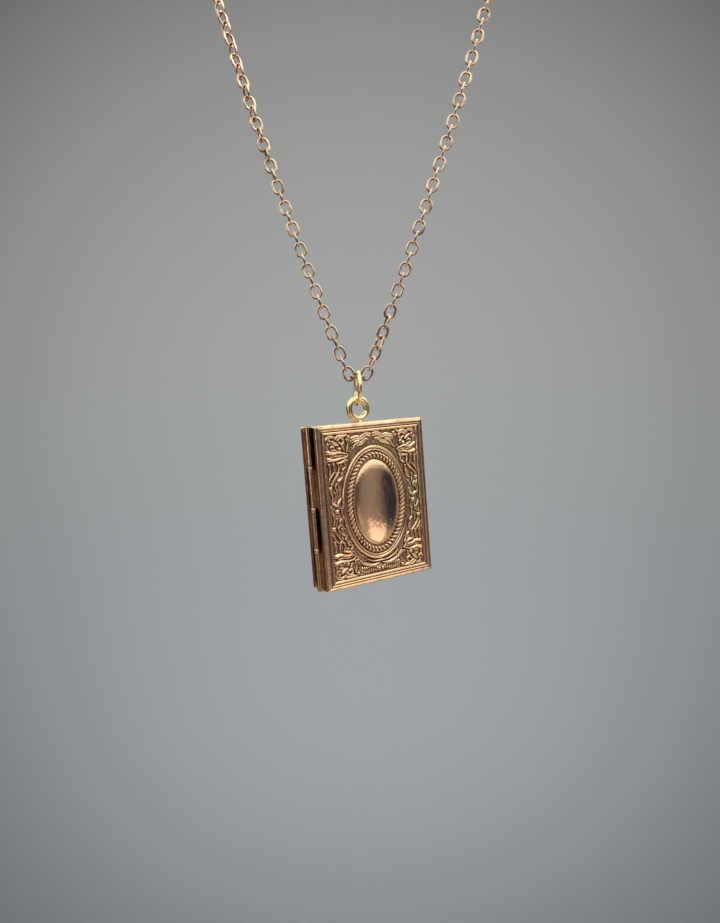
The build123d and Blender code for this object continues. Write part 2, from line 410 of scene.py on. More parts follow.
@dataclass
class Draft:
    """Points, faces and hollowness of one piece, gathered shell by shell in millimetres.

    Edges between its first soft_count points never turn sharp.
    """

    points: list[np.ndarray] = field(default_factory=list)
    hollows: list[np.ndarray] = field(default_factory=list)
    faces: list[Sequence[int]] = field(default_factory=list)
    count: int = 0
    soft_count: int = 0

    def add_points(self, points: np.ndarray, hollow: np.ndarray | float = 0.0) -> int:
        """Adds points.

        Args:
            points: An array whose last axis is x, y, z.
            hollow: How dark each is painted, from 0 to 1: tarnish, and on some pieces painted shade.

        Returns:
            The number of the first one.
        """
        flat = np.asarray(points, float).reshape(-1, 3)
        first = self.count
        self.points.append(flat)
        self.hollows.append(np.broadcast_to(np.asarray(hollow, float).ravel(), len(flat)))
        self.count += len(flat)
        return first

    def skin(self, first: int, rows: int, columns: int, wrap_rows: bool = False) -> None:
        """Covers a lattice of points with quads; its last column joins the first.

        Args:
            first: The number of the lattice's first point.
            rows: Points down the lattice.
            columns: Points across it.
            wrap_rows: Whether the last row joins the first too.
        """
        i = np.arange(rows if wrap_rows else rows - 1)[:, None]
        j = np.arange(columns)[None, :]
        after_i, after_j = (i + 1) % rows, (j + 1) % columns
        quads = np.stack([i * columns + j, i * columns + after_j, after_i * columns + after_j,
                          after_i * columns + j], axis=-1).reshape(-1, 4)
        self.faces.extend((quads + first).tolist())

    def loft(self, rings: np.ndarray, hollow: np.ndarray | float = 0.0, closed: bool = False,
             capped: bool = True) -> None:
        """Adds a shell through closed rings of points.

        Args:
            rings: An array of rings by points by x, y, z.
            hollow: How dark each point is painted: tarnish, and on some pieces painted shade.
            closed: Whether the last ring joins the first.
            capped: Whether flat ends close an open loft.
        """
        count, around = rings.shape[:2]
        first = self.add_points(rings, hollow)
        self.skin(first, count, around, wrap_rows=closed)
        if capped and not closed:
            self.faces.append(list(range(first, first + around))[::-1])
            last = first + (count - 1) * around
            self.faces.append(list(range(last, last + around)))

    def turn(self, profile: Sequence[Point], around: int, axis_point: Sequence[float], axis: str = "z",
             hollow: float = 0.0, ring: bool = False) -> None:
        """Adds a turned shell.

        Args:
            profile: Radius and height of each point along the section.
            around: Points round the axis.
            axis_point: A point on the axis, from which heights count.
            axis: The axis, x or z.
            hollow: How dark it is painted: tarnish, and on some pieces painted shade.
            ring: Whether the section is itself closed, as a drilled tube's is.
        """
        angles = np.linspace(0, 2 * math.pi, around, endpoint=False)
        radius, height = np.array(profile, float).T
        level = np.broadcast_to(height[:, None], (len(height), around))
        one, two = radius[:, None] * np.cos(angles), radius[:, None] * np.sin(angles)
        rings = np.stack([one, two, level] if axis == "z" else [level, one, two], axis=-1)
        self.loft(rings + np.asarray(axis_point, float), hollow, closed=ring)

    def zip_loops(self, one: Sequence[int], two: Sequence[int]) -> None:
        """Joins two loops of points that run the same way with triangles.

        Args:
            one: Point numbers of the first loop.
            two: Point numbers of the second loop.
        """
        points = np.concatenate(self.points)[:, [0, 2]]
        way_one, way_two = (share_of_way(points[[*loop, loop[0]]]) for loop in (one, two))
        i, j = 0, 0
        while i < len(one) or j < len(two):
            here, there = one[i % len(one)], two[j % len(two)]
            if j >= len(two) or (i < len(one) and way_one[i + 1] <= way_two[j + 1]):
                self.faces.append((here, one[(i + 1) % len(one)], there))
                i += 1
            else:
                self.faces.append((here, two[(j + 1) % len(two)], there))
                j += 1

    def mesh(self, name: str, crease: float) -> bpy.types.Mesh:
        """Makes the mesh, in metres, with outward faces and soft shading.

        Args:
            name: The mesh's name.
            crease: Edges that turn more than this many degrees are sharp, but for the soft points' own.

        Returns:
            The mesh.
        """
        made = bpy.data.meshes.new(name)
        made.from_pydata(np.concatenate(self.points) * MM, [], self.faces)
        hollow = made.attributes.new("hollow", "FLOAT", "POINT")
        hollow.data.foreach_set("value", np.concatenate(self.hollows).astype(np.float32))
        made.shade_smooth()
        work = bmesh.new()
        work.from_mesh(made)
        bmesh.ops.recalc_face_normals(work, faces=work.faces)
        limit = math.radians(crease)
        for edge in work.edges:
            hard = max(point.index for point in edge.verts) >= self.soft_count
            if hard and edge.calc_face_angle(0) > limit:
                edge.smooth = False
        work.to_mesh(made)
        work.free()
        return made


def share_of_way(line: np.ndarray) -> np.ndarray:
    """Measures how far along a line each of its points lies.

    Args:
        line: The points.

    Returns:
        The share of the whole way at each point, from 0 to 1.
    """
    steps = np.linalg.norm(np.diff(line, axis=0), axis=1)
    return np.concatenate([[0.0], np.cumsum(steps)]) / steps.sum()


def smooth_line(points: Sequence[Point], per_span: int = 8) -> np.ndarray:
    """Draws a smooth line through a few points.

    Args:
        points: The points that it passes, in order.
        per_span: Steps between one point and the next.

    Returns:
        The line's points.
    """
    given = np.asarray(points, float)
    if len(given) == 2:
        return given[0] + np.linspace(0, 1, per_span + 1)[:, None] * (given[1] - given[0])
    ends = [2 * given[0] - given[1], *given, 2 * given[-1] - given[-2]]
    spans = []
    for a, b, c, d in zip(ends, ends[1:], ends[2:], ends[3:]):
        t = np.linspace(0, 1, per_span, endpoint=False)[:, None]
        square, cube = 2 * a - 5 * b + 4 * c - d, 3 * b - a - 3 * c + d
        spans.append(0.5 * (2 * b + (c - a) * t + square * t**2 + cube * t**3))
    return np.concatenate([*spans, given[-1:]])


def eased(levels: Sequence[Point], at: np.ndarray) -> np.ndarray:
    """Reads a profile given point by point.

    Args:
        levels: Place and level of each point of the profile, in order.
        at: Places to read it at.

    Returns:
        The level at each place.
    """
    place, level = np.array(levels, float).T
    return np.interp(at, place, level)


# The book's covers


class Cut(Enum):
    """How the top of a raised stroke is finished."""

    ROUND = 0
    GROOVED = 1
    RIBBED = 2
    HOLLOW = 3


class Taper(Enum):
    """How a stroke's width runs from its start to its end."""

    BLUNT = 0
    LEAF = 1
    TAIL = 2


class Half(Enum):
    """Which half of the cover a stroke is on; it is mirrored across the middle either way."""

    BOTH = (1, -1)
    TOP = (1,)
    FOOT = (-1,)


@dataclass(frozen=True)
class Stroke:
    """One raised stroke of the scrollwork, in a quarter of the cover."""

    line: tuple[Point, ...]
    width: float
    taper: Taper = Taper.LEAF
    cut: Cut = Cut.ROUND
    half: Half = Half.BOTH
    rise: float = 0.38
    breadth: float = 1.7
    rib_pitch: float = 0.42

    def raise_field(self, across: np.ndarray, up: np.ndarray,
                    shift: np.ndarray) -> tuple[np.ndarray, np.ndarray]:
        """Height of this stroke over the field, and the distance from its edge.

        Args:
            across: Distance of each place from the upright middle line.
            up: Distance of each place from the level middle line.
            shift: How far each of the line's points strays, as a hand-cut die has it.

        Returns:
            The height at each place, 0 beside the stroke, and how far outside the stroke it is.
        """
        line = smooth_line(np.asarray(self.line) + shift)
        steps = np.diff(line, axis=0)
        lengths = np.linalg.norm(steps, axis=1)
        way = np.concatenate([[0.0], np.cumsum(lengths)])
        place = np.stack([across, up], axis=-1)[:, None, :] - line[:-1]
        along = np.clip((place * steps).sum(-1) / lengths**2, 0, 1)
        gap = np.linalg.norm(place - along[..., None] * steps, axis=-1)
        nearest = gap.argmin(axis=1)
        rows = np.arange(len(across))
        travelled = way[nearest] + along[rows, nearest] * lengths[nearest]
        share = travelled / way[-1]
        if self.taper is Taper.LEAF:
            half_width = self.width / 2 * (0.3 + 0.7 * np.sin(math.pi * (0.08 + 0.84 * share)))
        elif self.taper is Taper.TAIL:
            half_width = self.width / 2 * (1.0 - 0.65 * share)
        else:
            half_width = np.full_like(share, self.width / 2)
        half_width = half_width * self.breadth
        outside = gap[rows, nearest] - half_width
        off = np.clip(gap[rows, nearest] / half_width, 0, 1)
        height = self.rise * (1 - off**1.7)
        if self.cut is Cut.GROOVED:
            height *= 1 - 0.55 * np.exp(-((off / 0.3) ** 2))
        elif self.cut is Cut.RIBBED:
            height *= 0.72 + 0.28 * np.cos(2 * math.pi * travelled / self.rib_pitch)
        elif self.cut is Cut.HOLLOW:
            height *= 1 - 0.85 * np.exp(-((off / 0.55) ** 4))
        return height, outside


def bead(across: float, up: float, width: float, cut: Cut = Cut.ROUND, half: Half = Half.BOTH) -> Stroke:
    """A small round bead, as a very short stroke.

    Args:
        across: Its place across the quarter.
        up: Its place up the quarter.
        width: Its width.
        cut: How its top is finished.
        half: Which half of the cover it is on.

    Returns:
        The stroke.
    """
    return Stroke(((across, up), (across + 0.02, up + 0.02)), width, Taper.BLUNT, cut, half)


LEAF, TAIL, BLUNT = Taper.LEAF, Taper.TAIL, Taper.BLUNT
ROUND, GROOVED, RIBBED, HOLLOW = Cut.ROUND, Cut.GROOVED, Cut.RIBBED, Cut.HOLLOW
TOP, FOOT = Half.TOP, Half.FOOT

# Scrollwork of one quarter. Columns: line as (across, up) from the centre, width, taper, cut, half.
# A row without them has a leaf's taper, a round cut and both halves.
SCROLLWORK = (
    # Corner shell
    Stroke(((8.25, 9.35), (8.35, 10.5), (7.75, 11.2), (6.85, 10.95)), 0.5, LEAF, GROOVED),
    Stroke(((6.9, 10.75), (6.2, 11.2), (5.4, 11.1), (4.75, 11.25)), 0.5),
    Stroke(((6.45, 10.55), (5.85, 10.85), (5.35, 10.45), (5.6, 9.95), (6.1, 10.15)), 0.32, BLUNT),
    Stroke(((6.4, 9.75), (6.9, 10.05), (7.35, 10.45)), 0.5),
    Stroke(((7.8, 9.9), (7.7, 10.35), (7.95, 10.65)), 0.3),
    bead(7.35, 9.3, 0.62, HOLLOW),
    bead(6.1, 9.1, 0.5),
    bead(4.3, 10.9, 0.44),
    bead(8.2, 10.0, 0.3),
    Stroke(((5.75, 9.75), (5.5, 9.45), (5.4, 9.05)), 0.36),
    Stroke(((7.05, 9.0), (6.8, 8.85), (6.6, 8.9)), 0.3),
    # Double leaf under the shell
    Stroke(((8.25, 8.75), (7.4, 8.5), (6.4, 8.62), (5.4, 8.5), (4.7, 8.2)), 0.52, TAIL),
    Stroke(((8.2, 7.6), (7.3, 7.5), (6.3, 7.68), (5.4, 7.75), (4.8, 8.0)), 0.52, TAIL),
    Stroke(((7.9, 8.1), (7.0, 8.02), (6.0, 8.12), (5.2, 8.08)), 0.2, rise=0.16),
    Stroke(((5.1, 7.9), (5.45, 7.35), (6.0, 7.1), (6.8, 7.05)), 0.4),
    Stroke(((4.95, 7.45), (5.3, 6.9), (5.2, 6.5)), 0.34),
    # Stem base between the shell and the middle ribbons
    Stroke(((4.75, 10.6), (4.6, 9.8), (4.8, 8.75)), 0.28, BLUNT),
    Stroke(((4.4, 10.45), (4.2, 9.6), (4.4, 8.75)), 0.24, BLUNT),
    Stroke(((4.05, 10.2), (3.85, 9.5), (4.05, 8.85)), 0.22, BLUNT),
    Stroke(((2.4, 10.0), (3.3, 9.7), (3.7, 9.05), (4.3, 8.55)), 0.3),
    # Ribbons beside the bud at the top
    Stroke(((0.4, 11.0), (1.2, 11.1), (2.0, 10.6), (2.9, 10.75), (3.8, 10.5)), 0.55, BLUNT, GROOVED, TOP),
    Stroke(((0.6, 10.2), (1.2, 10.25), (1.9, 9.75), (2.7, 9.55), (3.3, 9.15)), 0.5, LEAF, GROOVED, TOP),
    Stroke(((2.3, 10.25), (3.0, 10.15), (3.7, 9.9)), 0.3, half=TOP),
    # Ribbed leaves beside the bud at the foot
    Stroke(((0.35, 10.85), (1.5, 10.55), (2.7, 10.6), (4.0, 10.3)), 0.85, LEAF, RIBBED, FOOT),
    Stroke(((0.45, 9.9), (1.3, 10.15), (2.3, 9.95), (3.6, 9.2)), 0.44, half=FOOT),
    Stroke(((0.0, 9.5), (1.3, 9.42), (2.5, 9.0), (3.4, 8.4)), 0.26, TAIL, half=FOOT),
    # Sides
    Stroke(((5.4, 6.25), (5.6, 6.1), (5.95, 5.75)), 0.36),
    Stroke(((6.6, 6.85), (6.5, 6.3), (6.55, 5.6)), 0.24, BLUNT),
    Stroke(((7.4, 7.0), (7.35, 6.3), (7.15, 5.5)), 0.26, BLUNT),
    Stroke(((8.2, 6.9), (8.15, 6.0), (8.2, 5.3)), 0.26, BLUNT),
    Stroke(((6.6, 5.6), (7.35, 4.75), (8.0, 3.8), (8.25, 3.0)), 0.34, TAIL),
    Stroke(((7.5, 5.6), (8.0, 5.0), (8.35, 4.4)), 0.26),
    Stroke(((6.15, 4.6), (6.5, 4.1), (6.75, 3.4)), 0.56),
    Stroke(((6.1, 5.4), (6.15, 5.1), (6.05, 4.85)), 0.3),
    bead(8.2, 3.2, 0.46),
    Stroke(((7.2, 3.9), (7.35, 3.3), (7.2, 2.7)), 0.26),
    Stroke(((8.25, 2.6), (7.95, 1.8), (8.2, 0.9)), 0.26),
    Stroke(((6.75, 2.9), (6.95, 2.3), (6.8, 1.7)), 0.3, half=FOOT),
    Stroke(((6.6, 1.45), (6.85, 0.85), (7.2, 0.3)), 0.46, half=TOP),
    Stroke(((8.05, 0.75), (7.7, 0.5), (7.2, 0.25)), 0.4, half=TOP),
    bead(7.3, 0.55, 0.5, ROUND, FOOT),
    Stroke(((7.6, 1.6), (7.55, 2.1), (7.7, 2.5)), 0.24),
    Stroke(((6.5, 0.1), (6.55, 0.9), (6.45, 1.6)), 0.2, half=FOOT),
)


@dataclass
class Moulding:
    """Section of the frame round each cover, as (inset from the edge, depth) points."""

    rim: tuple[Point, ...] = (
        (0.0, 0.32), (0.02, 0.24), (0.07, 0.17), (0.14, 0.125), (0.24, 0.09), (0.36, 0.055))
    band: tuple[Point, ...] = ((0.5, 0.015), (0.58, 0.0), (0.68, 0.004), (0.8, 0.03), (0.9, 0.045))
    groove: tuple[Point, ...] = ((0.95, 0.12), (1.0, 0.2), (1.06, 0.2), (1.1, 0.13))
    cord: tuple[Point, ...] = (
        (1.15, 0.06), (1.22, 0.015), (1.3, 0.0), (1.39, 0.02), (1.47, 0.08), (1.53, 0.2))
    foot: tuple[Point, ...] = ((1.58, 0.33), (1.64, 0.35))

    def section(self) -> list[Point]:
        """The whole section from the edge to the field.

        Returns:
            Its (inset, depth) points.
        """
        return [*self.rim, *self.band, *self.groove, *self.cord, *self.foot]


@dataclass
class Medallion:
    """The oval in the middle of the front cover: plain ring, rope ring and smooth dome."""

    ring_middle: Point = (5.92, 8.78)
    ring_section: tuple[Point, ...] = (
        (-0.46, 0.3), (-0.42, 0.22), (-0.36, 0.1), (-0.28, 0.04), (-0.2, 0.05), (-0.14, 0.13), (-0.1, 0.24),
        (-0.06, 0.24), (-0.02, 0.1), (0.06, -0.01), (0.16, -0.04), (0.27, -0.01), (0.37, 0.08), (0.44, 0.2),
        (0.49, 0.35))
    trough: float = 0.3
    rope_middle: Point = (5.02, 7.68)
    rope_radius: float = 0.46
    rope_turns: int = 58
    rope_strands: int = 2
    rope_bite: float = 0.5
    rope_lift: float = 0.04
    dome_edge: Point = (4.42, 7.02)
    dome_height: float = 1.02
    stations_per_turn: int = 12
    around: int = 16
    fine_steps: int = 20001

    @staticmethod
    def off_oval(across: np.ndarray, up: np.ndarray, oval: Point) -> np.ndarray:
        """Distance outward from an oval line, close to the line.

        Args:
            across: Place of each point across the cover.
            up: Place of each point up the cover.
            oval: The oval's half width and half height.

        Returns:
            The distance at each point.
        """
        level = np.sqrt((across / oval[0]) ** 2 + (up / oval[1]) ** 2)
        slope = np.sqrt((across / oval[0] ** 2) ** 2 + (up / oval[1] ** 2) ** 2) / np.maximum(level, 1e-6)
        return (level - 1) / np.maximum(slope, 1e-6)

    def depth(self, across: np.ndarray, up: np.ndarray, field_depth: np.ndarray) -> np.ndarray:
        """Depth of the cover's face with the oval set into it.

        Args:
            across: Place of each point across the cover.
            up: Place of each point up the cover.
            field_depth: Depth of the face without the oval.

        Returns:
            The depth of each point below the frame's top.
        """
        off = self.off_oval(across, up, self.ring_middle)
        depth = np.where(off < self.ring_section[-1][0], eased(self.ring_section, off), field_depth)
        level = np.clip((across / self.dome_edge[0]) ** 2 + (up / self.dome_edge[1]) ** 2, 0, 1)
        dome = self.trough - self.dome_height * np.sqrt(1 - level)
        return np.where(level < 1, dome, depth)

    def rope(self, outer_y: float) -> Draft:
        """The rope ring, two strands twisted round each other and laid along the oval.

        Args:
            outer_y: Where the frame's top lies.

        Returns:
            The draft of the rope.
        """
        stations = self.rope_turns * self.stations_per_turn
        wide, high = self.rope_middle
        fine = np.linspace(0, 2 * math.pi, self.fine_steps)
        oval = np.stack([wide * np.cos(fine), high * np.sin(fine)], axis=-1)
        way = np.concatenate([[0.0], np.cumsum(np.linalg.norm(np.diff(oval, axis=0), axis=1))])
        angle = np.interp(np.linspace(0, way[-1], stations, endpoint=False), way, fine)
        centre = np.stack([wide * np.cos(angle), high * np.sin(angle)], axis=-1)
        outward = np.stack([np.cos(angle) * high, np.sin(angle) * wide], axis=-1)
        outward /= np.linalg.norm(outward, axis=1)[:, None]
        around = np.linspace(0, 2 * math.pi, self.around, endpoint=False)
        twist = 2 * math.pi * np.arange(stations)[:, None] / self.stations_per_turn
        lobes = np.abs(np.cos((self.rope_strands * around[None, :] + twist) / 2))
        radius = self.rope_radius * (1 - self.rope_bite * (1 - lobes) ** 1.6)
        side = radius * np.cos(around)
        rise = radius * np.sin(around)
        rings = np.empty((stations, self.around, 3))
        rings[..., 0] = centre[:, None, 0] + outward[:, None, 0] * side
        rings[..., 2] = centre[:, None, 1] + outward[:, None, 1] * side
        rings[..., 1] = outer_y + self.trough - self.rope_lift - rise
        draft = Draft()
        draft.loft(rings, np.clip(1.25 * (1 - lobes) ** 1.2, 0, 1), closed=True)
        return draft


@dataclass
class Cover:
    """One stamped tray of the book with its hinge knuckles; side is -1 in front and 1 behind."""

    side: int
    own_places: tuple[int, ...]
    width: float = 20.4
    height: float = 26.0
    thickness: float = 5.2
    corner: float = 0.4
    inner_corner: float = 0.08
    wall: float = 0.5
    floor: float = 0.75
    cover_gap: float = 0.05
    spine_edge: float = 0.9
    tab_step: float = 0.12
    barrel: float = 0.5
    bore: float = 0.26
    lug: float = 0.5
    clearance: float = 0.06
    end_gap: float = 0.05
    bevel: float = 0.05
    edge_step: float = 0.02
    mesh_step: float = 0.08
    moulding: Moulding = field(default_factory=Moulding)
    medallion: Medallion | None = None
    strokes: tuple[Stroke, ...] = ()
    stray: float = 0.035
    stray_seed: int = 7
    # Painted shade, level by level from the face's edge to the flat inside: lightest at the edge, darkest
    # inside.
    wall_painted_shade: tuple[float, ...] = (0.15, 0.42, 0.5, 0.42, 0.3, 0.3, 0.4, 0.5, 0.6)
    band_tarnish: float = 0.3
    # Painted shade on the spine's knuckles.
    knuckle_painted_shade: float = 0.35
    vein_pitch: float = 0.5
    vein_rise: float = 0.025
    vein_reach: float = 0.6

    def lines(self, half: float) -> np.ndarray:
        """Grid lines across the face: the moulding's own, and even steps over the field.

        Args:
            half: Half the cover's size along them.

        Returns:
            The lines' places.
        """
        insets = np.array([inset for inset, _ in self.moulding.section()])
        edge = half - insets[-1]
        steps = max(2, round(2 * edge / self.mesh_step))
        inner = np.linspace(-edge, edge, steps + 1)[1:-1]
        return np.concatenate([insets - half, inner, (half - insets)[::-1]])

    def round_corners(self, across: np.ndarray, up: np.ndarray, inset: np.ndarray) -> None:
        """Moves the grid's corner points in place onto the rounded outline of their own inset.

        Args:
            across: Place of each point across the cover.
            up: Place of each point up the cover.
            inset: How far in from the edge each point lies.
        """
        half_x, half_z = self.width / 2 - inset, self.height / 2 - inset
        radius = np.clip(self.corner - inset, 0, None)
        near = (np.abs(across) > half_x - radius) & (np.abs(up) > half_z - radius) & (radius > 0)
        r, hx, hz = radius[near], half_x[near], half_z[near]
        x, z = np.abs(across[near]), np.abs(up[near])
        along = np.where(hx - x < hz - z, z - (hz - r), 2 * r - (x - (hx - r)))
        angle = math.pi / 2 * along / (2 * r)
        across[near] = np.sign(across[near]) * (hx - r + r * np.cos(angle))
        up[near] = np.sign(up[near]) * (hz - r + r * np.sin(angle))

    def relief(self, across: np.ndarray, up: np.ndarray) -> np.ndarray:
        """Height of the scrollwork over the field, with fine veins chased beside the strokes.

        Args:
            across: Place of each point across the cover.
            up: Place of each point up the cover.

        Returns:
            The height at each point.
        """
        height = np.zeros_like(across)
        beside = np.full_like(across, self.vein_reach)
        wander = np.random.default_rng(self.stray_seed)
        for stroke in self.strokes:
            line = np.asarray(stroke.line)
            margin = stroke.width + self.vein_reach
            low, high = line.min(0) - margin, line.max(0) + margin
            for up_sign in stroke.half.value:
                for side_sign in (-1, 1):
                    shift = wander.normal(0, self.stray, line.shape)
                    shift[line == 0] = 0
                    u, v = side_sign * across, up_sign * up
                    near = (u > low[0]) & (u < high[0]) & (v > low[1]) & (v < high[1])
                    raised, outside = stroke.raise_field(u[near], v[near], shift)
                    height[near] = np.maximum(height[near], raised)
                    beside[near] = np.minimum(beside[near], outside)
        fade = np.clip(1 - beside / self.vein_reach, 0, 1)
        wave = 1 - np.cos(2 * math.pi * np.clip(beside, 0, None) / self.vein_pitch)
        return np.maximum(height, self.vein_rise * fade * wave)

    def outline(self) -> list[Station]:
        """Stations round the wall.

        Returns:
            For each, the middle of its corner arc (or its place on a straight side, pulled in by
            the corner's radius) and its outward direction, from the top of the spine clockwise
            as seen from the front.
        """
        core_x, core_z = self.width / 2 - self.corner, self.height / 2 - self.corner
        spine = {core_z, -core_z}
        for place in range(4):
            low, high = self.knuckle(place)
            reach = self.lug + 2 * self.clearance
            stretch = (low, high) if place in self.own_places else (low - reach, high + reach)
            for level in stretch:
                if abs(level) < core_z:
                    spine |= {level - self.edge_step, level + self.edge_step}
        rows: list[Station] = []

        for side, end, start in ((-1, 1, 180), (1, 1, 90), (1, -1, 0), (-1, -1, -90)):
            for angle in np.radians(np.linspace(start, start - 90, 8)):
                rows.append((side * core_x, end * core_z, math.cos(angle), math.sin(angle)))
        rows.extend((-core_x, z, -1.0, 0.0) for z in sorted(spine) if abs(z) < core_z)
        return rows

    def knuckle(self, place: int) -> Point:
        """Finds a knuckle on the spine.

        Args:
            place: Which of the four, from 0 at the foot.

        Returns:
            Its lowest and highest z.
        """
        pitch = self.height / 4
        seam = self.lug / 2 + self.clearance
        low = place * pitch - self.height / 2
        high = low + pitch
        return low + (self.end_gap if place == 0 else seam), high - (self.end_gap if place == 3 else seam)

    def station_form(self, row: Station) -> tuple[float, float]:
        """Rim depth and tab step at a station of the wall.

        Args:
            row: The station.

        Returns:
            The rim's distance from the book's middle plane, and how far the wall steps in.
        """
        low_edge = self.thickness / 2 - self.spine_edge
        if row[2] > -0.9:
            return self.cover_gap, 0.0
        reach = self.lug + 2 * self.clearance
        for place in range(4):
            low, high = self.knuckle(place)
            if place in self.own_places:
                if low <= row[1] <= high:
                    return self.cover_gap, self.tab_step
            elif low - reach <= row[1] <= high + reach:
                return low_edge, 0.0
        return self.cover_gap, 0.0

    def walls(self, draft: Draft, face_edge: list[int], edge_depth: float) -> None:
        """Adds the wall, its rim and the flat inside, with painted shade on each level.

        Args:
            draft: The draft that has the face.
            face_edge: Point numbers of the face's edge, from the top of the spine clockwise.
            edge_depth: How deep the face's edge lies.
        """
        top = self.thickness / 2 - edge_depth
        inside = self.thickness / 2 - self.floor
        shoulder = self.thickness / 2 - self.spine_edge + 0.03
        stations = self.outline()
        bevel = self.bevel
        points = np.empty((len(self.wall_painted_shade), len(stations), 3))
        for number, row in enumerate(stations):
            rim, tab = self.station_form(row)
            levels = (
                (0.0, top), (0.0, max(shoulder, rim + 0.1)), (tab, max(shoulder - 0.06, rim + 0.08)),
                (tab, rim + bevel), (tab + bevel / 3, rim + bevel / 3), (tab + bevel, rim),
                (self.wall - bevel, rim), (self.wall, rim + bevel), (self.wall, inside))
            for level, (inset, y) in enumerate(levels):
                points[level, number] = self.wall_point(row, inset, y)
        # Painted shade: each level of the wall is darkened by its own amount, most on the flat inside.
        hollow = np.repeat(np.array(self.wall_painted_shade)[:, None], len(stations), axis=1)
        first = draft.add_points(points, hollow)
        draft.skin(first, len(points), len(stations))
        draft.zip_loops(face_edge, list(range(first, first + len(stations))))
        last = first + (len(points) - 1) * len(stations)
        draft.faces.append(list(range(last, last + len(stations))))

    def wall_point(self, row: Station, inset: float, y: float) -> tuple[float, float, float]:
        """A point of the wall.

        Args:
            row: The station.
            inset: How far in from the wall's outside it lies.
            y: Its distance from the book's middle plane.

        Returns:
            The point, on a nearly square corner once it lies further in than the corner's radius.
        """
        radius = max(self.corner - inset, self.inner_corner)
        limit_x, limit_z = self.width / 2 - inset - radius, self.height / 2 - inset - radius
        x = min(max(row[0], -limit_x), limit_x) + row[2] * radius
        z = min(max(row[1], -limit_z), limit_z) + row[3] * radius
        return x, self.side * y, z

    def knuckles(self, draft: Draft) -> None:
        """Adds the drilled knuckles on the spine, with painted shade.

        Args:
            draft: The draft to add them to.
        """
        lip = self.bevel
        for place in self.own_places:
            low, high = self.knuckle(place)
            section = [(self.bore, low), (self.barrel - lip, low), (self.barrel, low + lip),
                       (self.barrel, high - lip), (self.barrel - lip, high), (self.bore, high)]
            # The knuckles are darkened all over with painted shade.
            draft.turn(section, 28, (-self.width / 2, 0, 0), hollow=self.knuckle_painted_shade, ring=True)

    def face(self, draft: Draft) -> tuple[list[int], float]:
        """Adds the stamped face.

        Args:
            draft: The draft to add it to.

        Returns:
            The point numbers of its edge, from the top of the spine clockwise, and its edge's depth.
        """
        section = self.moulding.section()
        xs, zs = self.lines(self.width / 2), self.lines(self.height / 2)
        across, up = np.meshgrid(xs, zs[::-1])
        inset = np.minimum(self.width / 2 - np.abs(across), self.height / 2 - np.abs(up))
        depth = eased(section, inset)
        relief = self.relief(across.ravel(), up.ravel()).reshape(across.shape)
        depth = depth - np.where(inset >= section[-1][0], relief, 0)
        if self.medallion:
            depth = self.medallion.depth(across, up, depth)
        hollow = self.hollowness(depth, inset, section[-1][1])
        self.round_corners(across, up, inset)
        points = np.stack([across, self.side * (self.thickness / 2 - depth), up], axis=-1)
        first = draft.add_points(points, hollow)
        rows, columns = across.shape
        rim = len(section)
        for i in range(rows - 1):
            for j in range(columns - 1):
                a = first + i * columns + j
                b, c, d = a + 1, a + columns + 1, a + columns
                top_corner, left_corner = i < rim, j < rim
                if (top_corner or i >= rows - rim - 1) and (left_corner or j >= columns - rim - 1):
                    if top_corner == left_corner:
                        draft.faces += [(a, b, c), (a, c, d)]
                    else:
                        draft.faces += [(a, b, d), (b, c, d)]
                else:
                    draft.faces.append((a, b, c, d))
        top = [first + j for j in range(columns)]
        right = [first + i * columns + columns - 1 for i in range(1, rows)]
        bottom = [first + (rows - 1) * columns + j for j in range(columns - 2, -1, -1)]
        left = [first + i * columns for i in range(rows - 2, 0, -1)]
        edge = top + right + bottom + left
        start = edge.index(min(edge, key=lambda n: self.corner_distance(points.reshape(-1, 3)[n - first])))
        return edge[start:] + edge[:start], section[0][1]

    def corner_distance(self, point: np.ndarray) -> float:
        """How far a point of the edge is from the wall's first station.

        Args:
            point: The point.

        Returns:
            The distance.
        """
        return math.hypot(point[0] + self.width / 2, point[2] - (self.height / 2 - self.corner))

    def hollowness(self, depth: np.ndarray, inset: np.ndarray, field_depth: float) -> np.ndarray:
        """How hollow the face is at each point of its grid.

        Args:
            depth: Depth of each point.
            inset: How far in from the edge each point lies.
            field_depth: The field's depth.

        Returns:
            The hollowness, from 0 to 1.
        """
        around = depth.copy()
        for _ in range(5):
            around[1:-1, 1:-1] = (2 * around[1:-1, 1:-1] + around[:-2, 1:-1] + around[2:, 1:-1]
                                  + around[1:-1, :-2] + around[1:-1, 2:]) / 6
        pit = np.clip((depth - around) / 0.05, -1, 1)
        low = np.clip(depth / field_depth, 0, 1)
        dome = 0.0
        if self.medallion:
            xs, zs = self.lines(self.width / 2), self.lines(self.height / 2)
            across, up = np.meshgrid(xs, zs[::-1])
            off = Medallion.off_oval(across, up, self.medallion.dome_edge)
            dome = np.clip(-off / 0.15, 0, 1)
        hollow = np.clip(0.22 * low**2 + 0.95 * pit, 0, 1)
        hollow = np.where(inset < self.moulding.band[-1][0], np.maximum(hollow, self.band_tarnish), hollow)
        return np.where(dome > 0, hollow * (1 - dome), hollow)

    def build(self) -> Draft:
        """The whole tray: face, walls, inside and knuckles.

        Returns:
            Its draft.
        """
        draft = Draft()
        edge, depth = self.face(draft)
        draft.soft_count = draft.count
        self.walls(draft, edge, depth)
        self.knuckles(draft)
        return draft


